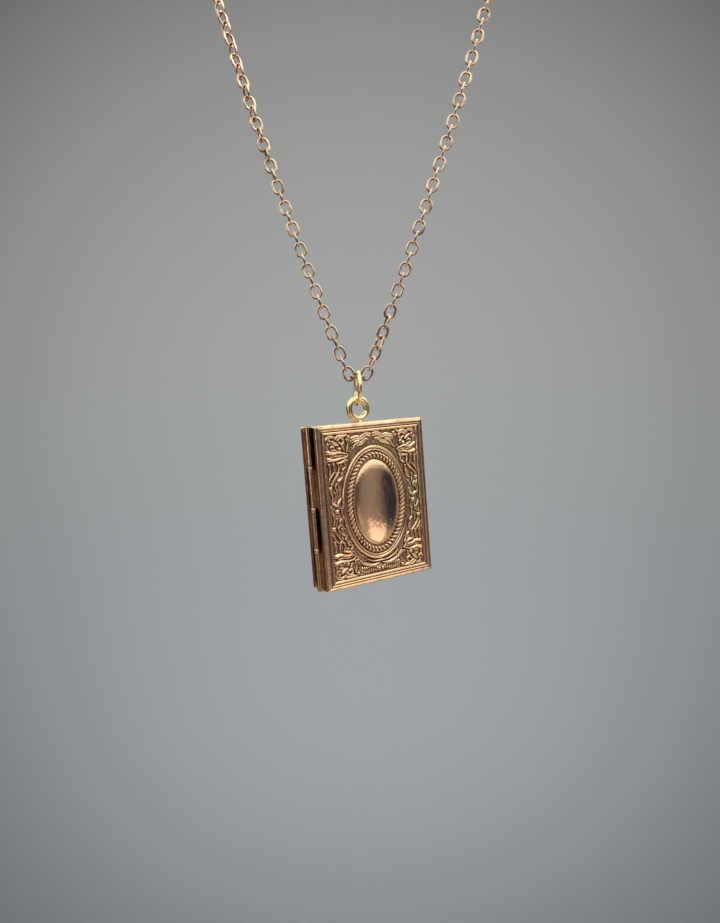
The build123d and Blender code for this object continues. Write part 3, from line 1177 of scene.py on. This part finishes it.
@dataclass
class Hanging:
    """Where the closed locket hangs: turned about the vertical, nodding forward, leaning left."""

    turn: float = 32.0
    nod: float = 2.0
    lean: float = -5.5
    spine_x: float = -10.2

    def rotation(self) -> Matrix:
        """The locket's turn from upright to hanging.

        Returns:
            The rotation.
        """
        turned = Matrix.Identity(4)
        for angle, axis in ((self.turn, "Z"), (self.nod, "X"), (self.lean, "Y")):
            turned = turned @ Matrix.Rotation(math.radians(angle), 4, axis)
        return turned

    def place(self) -> Matrix:
        """The locket's place, from the middle of its hinge as the frame gives it.

        Returns:
            Its place and turn, in metres.
        """
        hinge = next(j for j in frame["joints"] if j["name"] == "cover_hinge")
        rotation = self.rotation()
        origin = Vector(hinge["pos_m"]) - rotation @ Vector((self.spine_x * MM, 0, 0))
        return Matrix.Translation(origin) @ rotation


@dataclass
class Locket:
    """The closed book: covers, pin, leaf and the soldered bail."""

    workshop: Workshop
    place: Matrix
    bail_radius: float = 1.68
    bail_wire: float = 0.52
    bail_y: float = 1.1
    bail_z: float = 15.15
    solder: tuple[Point, ...] = (
        (0.86, -0.06), (0.78, 0.02), (0.6, 0.1), (0.5, 0.2), (0.44, 0.34), (0.3, 0.46))
    cover_top: float = 13.0
    spine_x: float = -10.2
    leaf_span: Point = (-9.35, 9.45)
    leaf_half_height: float = 12.25
    leaf_rows: tuple[Point, ...] = ((2.0, 0.18), (1.94, 0.22), (1.88, 0.3), (0.08, 0.3), (0.0, 0.22))
    seams: tuple[float, ...] = (-6.5, 0.0, 6.5)
    lug: tuple[Point, ...] = (
        (0.26, -0.25), (0.4, -0.25), (0.5, -0.16), (0.53, 0.0), (0.5, 0.16), (0.4, 0.25), (0.26, 0.25))
    arm_span: Point = (-9.9, -9.0)
    arm_half: float = 0.24
    pin_end: float = 13.21
    pin_head: tuple[Point, ...] = (
        (0.22, 0.2), (0.4, 0.2), (0.4, 0.12), (0.34, 0.05), (0.2, 0.01), (0.03, 0.0))

    def build(self) -> None:
        """Builds every piece of the locket."""
        self.front()
        self.back()
        self.bail()
        self.leaf()
        self.pin()

    def front(self) -> None:
        """The front cover with its scrollwork and oval."""
        oval = Medallion()
        cover = Cover(-1, (0, 2), medallion=oval, strokes=SCROLLWORK)
        self.workshop.piece("front_tray", cover.build(), self.place, Metal.COVER, Slot.COVER, Body.FRONT,
                            replaces=["front_cover"])
        rope = oval.rope(-cover.thickness / 2)
        self.workshop.piece("rope_ring", rope, self.place, Metal.COVER, Slot.COVER, Body.FRONT, crease=180.0)

    def back(self) -> None:
        """The back cover with its plain panel."""
        cover = Cover(1, (1, 3), mesh_step=0.8)
        self.workshop.piece("back_tray", cover.build(), self.place, Metal.COVER, Slot.COVER, Body.BACK,
                            replaces=["back_cover"])

    def bail(self) -> None:
        """The bail ring and the solder that holds it."""
        draft = Draft()
        draft.loft(torus(self.bail_radius, self.bail_wire, 64, 18), closed=True)
        draft.turn(self.solder, 28, (0, 0, self.cover_top - self.bail_z), hollow=0.25)
        shift = Matrix.Translation(Vector((0, self.bail_y, self.bail_z)) * MM)
        self.workshop.piece("bail_ring", draft, self.place @ shift, Metal.RING, Slot.COVER, Body.BACK)

    def leaf(self) -> None:
        """The picture leaf with its three lugs."""
        draft = Draft()
        left, right = self.leaf_span
        middle, half = (left + right) / 2, (right - left) / 2
        levels = [(inset, -y) for inset, y in self.leaf_rows]
        levels += [(inset, y) for inset, y in reversed(self.leaf_rows)]
        corners = ((-1, -1), (1, -1), (1, 1), (-1, 1))
        draft.loft(np.array([[(middle + sx * (half - inset), y, sz * (self.leaf_half_height - inset))
                              for sx, sz in corners] for inset, y in levels]))
        for seam in self.seams:
            draft.turn(self.lug, 28, (self.spine_x, 0, seam), ring=True)
            draft.loft(np.array([[(x, sy * self.arm_half, seam + sz * self.arm_half) for sy, sz in corners]
                                 for x in self.arm_span]))
        self.workshop.piece("leaf_plate", draft, self.place, Metal.LEAF, Slot.LEAF, Body.LEAF,
                            replaces=["picture_leaf"])

    def pin(self) -> None:
        """The hinge pin with its domed heads."""
        draft = Draft()
        head = [(radius, self.pin_end - below) for radius, below in self.pin_head]
        foot = [(radius, -height) for radius, height in reversed(head)]
        draft.turn(foot + head, 20, (self.spine_x, 0, 0))
        self.workshop.piece("pin_wire", draft, self.place, Metal.PIN, Slot.PIN, Body.BACK,
                            replaces=["hinge_pin"])


@dataclass
class JumpRing:
    """The ring that carries the bail and rides on the lowest link, with its cut seam."""

    workshop: Workshop
    middle_radius: float = 2.6
    wire: float = 0.35
    turn: float = 8.0
    seam: float = 0.03
    seam_angle: float = 250.0

    def build(self) -> None:
        """Builds the ring where the frame has it."""
        low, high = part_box("jump_ring")
        turned = Matrix.Rotation(math.radians(self.turn + 90), 4, "Z")
        draft = Draft()
        gap = self.seam / self.middle_radius
        draft.loft(torus(self.middle_radius, self.wire, 72, 18, math.radians(self.seam_angle), gap))
        place = Matrix.Translation((low + high) / 2) @ turned
        self.workshop.piece("jump_ring_wire", draft, place, Metal.RING, Slot.RING, Body.RING,
                            replaces=["jump_ring"])


@dataclass
class CableChain:
    """Both strands of the chain, link through link, from the lowest link up to the clasp."""

    workshop: Workshop
    link_length: float = 2.68
    link_width: float = 2.04
    solid_wire: float = 0.38
    link_gap: float = 0.1
    first_slope: float = 60.0
    strand_links: int = 73
    strand_lean: float = 21.2
    lean_change: float = 0.078
    right_twist: float = 40.0
    right_twist_link: int = 4
    left_twist: float = 45.0
    left_twist_from: int = 18
    twist_per_link: float = 10.0
    left_twist_per_link: float = 3.0
    clasp_end: float = 5.2
    wire_across: float = 0.42
    wire_flat: float = 0.34
    dullness: float = 0.28
    wobble: float = 1.5
    wobble_seed: int = 3
    stations: int = 26
    around: int = 10

    @property
    def pitch(self) -> float:
        """Distance from one link's centre to the next.

        Returns:
            The distance.
        """
        return self.link_length - 2 * self.solid_wire - self.link_gap

    def places(self) -> tuple[list[tuple[float, float, float]], float]:
        """Centre and slope of each link of one side, above the lowest link.

        Returns:
            The (x, z, slope in degrees) rows, and the loop's height.
        """
        bar_reach = (self.link_length - self.solid_wire) / 2
        slope = math.radians(self.first_slope)
        reach = bar_reach - self.solid_wire - self.link_gap
        x, z = bar_reach + reach * math.cos(slope), reach * math.sin(slope)
        rows = [(0.0, 0.0, 0.0), (x, z, math.degrees(slope))]
        for number in range(2, self.strand_links + 1):
            after = math.radians(90.0 - self.strand_lean + self.lean_change * number * self.pitch)
            x += self.pitch * math.cos((slope + after) / 2)
            z += self.pitch * math.sin((slope + after) / 2)
            slope = after
            rows.append((x, z, math.degrees(slope)))
        neck = x / math.sin(slope)
        top = z + neck * (1 + math.cos(slope))
        while x > self.clasp_end + bar_reach:
            middle = slope + self.pitch / neck / 2
            x += self.pitch * math.cos(middle)
            z += self.pitch * math.sin(middle)
            slope += self.pitch / neck
            rows.append((x, z, math.degrees(slope)))
        return rows, top

    def twist(self, number: int, side: int) -> float:
        """Finds how a strand is twisted.

        Args:
            number: The link's number, from 0 at the lowest.
            side: 1 for the right strand and -1 for the left one.

        Returns:
            The link's turn about its strand beyond the quarter turn from link to link, in degrees.
        """
        if side > 0:
            return max(0.0, self.right_twist - self.twist_per_link * abs(number - self.right_twist_link))
        return min(self.left_twist, max(0.0, self.left_twist_per_link * (number - self.left_twist_from)))

    def link(self) -> tuple[np.ndarray, np.ndarray]:
        """One link of rolled wire, flat about its centre, long side along x.

        Returns:
            Its points as stations by points round the wire by x, y, z, and their hollowness: an even tarnish
            with painted shade on the inside of the wire, deepest at the link's ends where the next link
            passes.
        """
        bend = (self.link_width - self.wire_across) / 2
        straight = (self.link_length - self.link_width) / 2
        angle = np.linspace(0, 2 * math.pi, self.stations, endpoint=False)
        spin = np.linspace(0, 2 * math.pi, self.around, endpoint=False)
        off = np.sign(np.cos(spin)) * np.abs(np.cos(spin)) ** 0.8 * self.wire_across / 2
        level = np.sign(np.sin(spin)) * np.abs(np.sin(spin)) ** 0.6 * self.wire_flat / 2
        reach = bend + off[None, :]
        push = np.clip(np.cos(angle) * 3, -1, 1) * straight
        points = np.empty((self.stations, self.around, 3))
        points[..., 0] = np.cos(angle)[:, None] * reach + push[:, None]
        points[..., 1] = np.sin(angle)[:, None] * reach
        points[..., 2] = level
        # Painted shade: the inside of the wire is darkened, most at the link's ends where the next link
        # passes; the dullness is an even tarnish over the whole link.
        inner = np.clip(-np.cos(spin), 0, 1)[None, :] * (0.35 + 0.5 * np.abs(np.cos(angle))[:, None] ** 4)
        return points, self.dullness + (1 - self.dullness) * inner

    def build(self) -> None:
        """Builds the left strand with the lowest link, and the right strand."""
        rows, top = self.places()
        for side, name in ((-1, "chain_left"), (1, "chain_right")):
            points, hollow = self.link()
            flat = points.reshape(-1, 3)
            draft = Draft()
            wander = np.random.default_rng(self.wobble_seed + side)
            for number, (x, z, slope) in enumerate(rows):
                if side > 0 and number == 0:
                    continue
                standing = 90.0 * (number % 2) + self.twist(number, side) + wander.normal(0, self.wobble)
                place = (Matrix.Translation((side * x, 0, z - top))
                         @ Matrix.Rotation(math.radians(-slope if side > 0 else slope - 180), 4, "Y")
                         @ Matrix.Rotation(math.radians(standing), 4, "X"))
                turned = np.array(place)
                set_down = (flat @ turned[:3, :3].T + turned[:3, 3]).reshape(points.shape)
                draft.loft(set_down, hollow, closed=True)
            self.workshop.piece(name + "_links", draft, Matrix.Identity(4), Metal.CHAIN, Slot.CHAIN,
                                Body.NECKLACE, crease=50.0, replaces=[name])


@dataclass
class Clasp:
    """The plain barrel clasp at the nape, with a ring at each end."""

    workshop: Workshop
    radius: float = 1.15
    ring_middle: float = 0.6
    ring_wire: float = 0.25

    def build(self) -> None:
        """Builds the clasp where the frame has it."""
        low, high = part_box("clasp")
        centre = (low + high) / 2
        reach = (high.x - low.x) / 2 / MM - self.ring_wire - self.ring_middle
        half = reach - self.ring_middle
        draft = Draft()
        r = self.radius
        section = [(0.3, -half), (0.75 * r, -half), (0.92 * r, 0.2 - half), (r, 0.55 - half), (r, -0.5),
                   (0.93 * r, -0.42), (0.93 * r, -0.3), (r, -0.22)]
        section += [(radius, -height) for radius, height in reversed(section)]
        draft.turn(section, 36, (0, 0, 0), axis="x")
        for end in (-1, 1):
            ring = torus(self.ring_middle, self.ring_wire, 32, 12)
            draft.loft(ring + np.array([end * reach, 0, 0]), closed=True)
        self.workshop.piece("clasp_barrel", draft, Matrix.Translation(centre), Metal.RING, Slot.RING,
                            Body.NECKLACE, replaces=["clasp"])


def torus(radius: float, wire: float, stations: int, around: int, start: float = 0.0,
          gap: float = 0.0) -> np.ndarray:
    """Rings of a round wire bent into a circle about the y axis.

    Args:
        radius: From the circle's centre to the wire's centre.
        wire: The wire's radius.
        stations: Rings round the circle.
        around: Points round the wire.
        start: Angle at which the circle starts.
        gap: Angle left open between its ends; 0 for a closed circle.

    Returns:
        The rings' points.
    """
    turn = start + gap / 2 + np.linspace(0, 2 * math.pi - gap, stations, endpoint=gap > 0)[:, None]
    spin = np.linspace(0, 2 * math.pi, around, endpoint=False)[None, :]
    reach = radius + wire * np.cos(spin)
    return np.stack([reach * np.cos(turn), wire * np.sin(spin) + 0 * turn, reach * np.sin(turn)], axis=-1)


# Camera, light and floor


@dataclass(frozen=True)
class Softbox:
    """One soft studio light that shows in the metal and leaves the paper alone."""

    name: str
    place: tuple[float, float, float]
    aim: tuple[float, float, float]
    size: tuple[float, float]
    glow: float
    tint: Colour = (1.0, 1.0, 1.0)

    def hang(self) -> None:
        """Hangs the light and turns it to its aim."""
        light = bpy.data.lights.new(self.name, "AREA")
        light.shape = "RECTANGLE"
        light.size, light.size_y = self.size
        light.energy = self.glow * math.pi * self.size[0] * self.size[1]
        light.color = self.tint
        made = bpy.data.objects.new(self.name, light)
        made.location = self.place
        way = Vector(self.aim) - Vector(self.place)
        made.rotation_euler = way.to_track_quat("-Z", "Y").to_euler()
        made.visible_camera = False
        made.visible_diffuse = False
        bpy.context.scene.collection.objects.link(made)


@dataclass(frozen=True)
class Glow:
    """A patch of the room that the metal mirrors; its direction and radii are in degrees."""

    azimuth: float
    height: float
    full: float
    outer: float
    colour: Colour

    def direction(self) -> Colour:
        """Finds the patch; azimuth 0 is to the viewer's right and 90 away from the viewer.

        Returns:
            Its direction, of length 1.
        """
        turn, rise = math.radians(self.azimuth), math.radians(self.height)
        return math.cos(rise) * math.cos(turn), math.cos(rise) * math.sin(turn), math.sin(rise)


@dataclass
class Studio:
    """Camera, soft lights, a pale floor that sweeps up behind with painted light in its tint, and the room's
    dim glow.
    """

    focal_pixels: float = 700.0
    frame_height: int = 923
    sensor: float = 36.0
    eye_across: float = 0.0002
    eye_back: float = -0.1149
    eye_under_ring: float = 0.0120
    roll: float = 0.7
    floor_z: float = -0.5
    wall_y: float = 0.62
    bend: float = 0.3
    reach: float = 1.8
    softboxes: tuple[Softbox, ...] = (
        Softbox("overhead", (0.18, -0.05, 0.16), (0, 0, -0.19), (0.22, 0.16), 2.0, (1.0, 0.95, 0.84)),
        Softbox("low_right", (0.245, -0.116, -0.345), (0, 0, -0.19), (0.15, 0.13), 1.05, (1.0, 0.80, 0.66)),
        Softbox("left_window", (-0.32, -0.30, -0.16), (0, 0, -0.19), (0.18, 0.26), 1.2, (1.0, 0.90, 0.80)),
    )
    wash_power: float = 19.0
    wash_spread: float = 100.0
    wash_z: float = -0.11
    wash_behind_eye: float = 0.1
    # Painted light: the paper's tint runs from cooler and a little darker low to warmer higher up.
    paper_low_painted_light: tuple[float, Colour] = (-0.6, (0.495, 0.52, 0.555))
    paper_high_painted_light: tuple[float, Colour] = (0.2, (0.53, 0.545, 0.525))
    beyond_paper: Colour = (0.34, 0.35, 0.35)
    above: Colour = (1.2, 1.24, 1.0)
    level: Colour = (0.285, 0.26, 0.215)
    below: Colour = (0.46, 0.42, 0.30)
    fade_above: Point = (0.2, 0.42)
    fade_below: Point = (-0.5, -0.26)
    glows: tuple[Glow, ...] = (
        Glow(-4, -2, 9, 25, (0.03, 0.03, 0.05)),
        Glow(-95, 0, 22, 50, (0.10, 0.09, 0.085)),
        Glow(150, 0, 30, 62, (0.115, 0.055, 0.032)),
        Glow(62, 4, 20, 42, (0.68, 0.56, 0.48)),
        Glow(-66, -22, 4, 12, (0.6, 0.45, 0.36)),
        Glow(0, -90, 25, 45, (0.85, 0.72, 0.52)),
    )

    def build(self) -> None:
        """Builds the studio."""
        self.camera()
        self.sweep()
        self.room()
        self.wash()
        for softbox in self.softboxes:
            softbox.hang()
        bpy.context.scene.view_settings.view_transform = "Standard"

    def camera(self) -> None:
        """Sets the camera at the photograph's viewing angle."""
        low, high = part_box("jump_ring")
        ring_z = (low.z + high.z) / 2
        data = bpy.data.cameras.new("viewer")
        data.sensor_width = self.sensor
        data.lens = self.focal_pixels / self.frame_height * self.sensor
        data.clip_start, data.clip_end = 0.005, 10.0
        made = bpy.data.objects.new("viewer", data)
        eye = (self.eye_across, self.eye_back, ring_z - self.eye_under_ring)
        made.matrix_world = (Matrix.Translation(eye) @ Matrix.Rotation(math.radians(self.roll), 4, "Y")
                             @ Matrix.Rotation(math.radians(90), 4, "X"))
        bpy.context.scene.collection.objects.link(made)
        bpy.context.scene.camera = made

    def wash(self) -> None:
        """Lights the paper alone, brightest behind the locket and dimmer towards the corners."""
        light = bpy.data.lights.new("paper_wash", "SPOT")
        light.energy = self.wash_power
        light.spot_size = math.radians(self.wash_spread)
        light.spot_blend = 0.8
        light.shadow_soft_size = 0.12
        made = bpy.data.objects.new("paper_wash", light)
        made.location = (0, self.eye_back - self.wash_behind_eye, self.wash_z)
        made.rotation_euler = (math.radians(90), 0, 0)
        made.visible_camera = False
        made.visible_glossy = False
        bpy.context.scene.collection.objects.link(made)

    def sweep(self) -> None:
        """The pale floor, bent up into a wall far behind, with painted light in its colour: cooler and a
        little darker low, warmer higher up.
        """
        angles = np.linspace(-math.pi / 2, 0, 13)
        line = [(-self.reach, self.floor_z)]
        for angle in angles:
            back, up = self.bend * math.cos(angle), self.bend * math.sin(angle)
            line.append((self.wall_y - self.bend + back, self.floor_z + self.bend + up))
        line.append((self.wall_y, self.reach))
        points = [(x, y, z) for y, z in line for x in (-self.reach, self.reach)]
        faces = [(2 * i, 2 * i + 1, 2 * i + 3, 2 * i + 2) for i in range(len(line) - 1)]
        mesh = bpy.data.meshes.new("floor_sweep")
        mesh.from_pydata(points, [], faces)
        mesh.shade_smooth()
        material = bpy.data.materials.new("pale_paper")
        material.use_nodes = True
        bench = NodeBench(material.node_tree)
        surface = material.node_tree.nodes["Principled BSDF"]
        height = bench.node("ShaderNodeSeparateXYZ")
        bench.wire(bench.node("ShaderNodeTexCoord").outputs["Object"], height.inputs["Vector"])
        # Painted light: the paper's colour shifts with height instead of with the lamps.
        (low, cool), (high, warm) = self.paper_low_painted_light, self.paper_high_painted_light
        tone = bench.blend(bench.spread(height.outputs["Z"], low, high), cool, warm)
        bench.wire(tone, surface.inputs["Base Color"])
        surface.inputs["Roughness"].default_value = 0.9
        surface.inputs["Specular IOR Level"].default_value = 0.1
        mesh.materials.append(material)
        made = bpy.data.objects.new("floor_sweep", mesh)
        made.visible_glossy = False
        bpy.context.scene.collection.objects.link(made)

    def room(self) -> None:
        """The room that only the metal mirrors: pale above and below, dim at the eye's level."""
        world = bpy.data.worlds.new("room")
        world.use_nodes = True
        world.cycles_visibility.diffuse = False
        bpy.context.scene.world = world
        bench = NodeBench(world.node_tree)
        background = world.node_tree.nodes["Background"]
        way = bench.node("ShaderNodeTexCoord").outputs["Generated"]
        split = bench.node("ShaderNodeSeparateXYZ")
        bench.wire(way, split.inputs["Vector"])
        rise = split.outputs["Z"]
        tone = bench.blend(bench.spread(rise, *self.fade_below), self.below, self.level)
        for glow in self.glows:
            lobe = bench.node("ShaderNodeVectorMath", operation="DOT_PRODUCT")
            bench.wire(way, lobe.inputs[0])
            lobe.inputs[1].default_value = glow.direction()
            outer, full = (math.cos(math.radians(angle)) for angle in (glow.outer, glow.full))
            tone = bench.blend(bench.spread(lobe.outputs["Value"], outer, full), tone, glow.colour)
        tone = bench.blend(bench.spread(rise, *self.fade_above), tone, self.above)
        seen = bench.node("ShaderNodeLightPath").outputs["Is Camera Ray"]
        bench.wire(bench.blend(seen, tone, self.beyond_paper), background.inputs["Color"])
        background.inputs["Strength"].default_value = 1.0


def main() -> None:
    """Builds the pieces in order, then the camera and the light."""
    logging.basicConfig(level=logging.INFO, format="%(message)s")
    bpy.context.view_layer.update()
    workshop = Workshop()
    Locket(workshop, Hanging().place()).build()
    JumpRing(workshop).build()
    CableChain(workshop).build()
    Clasp(workshop).build()
    Studio().build()


if __name__ == "__main__":
    main()
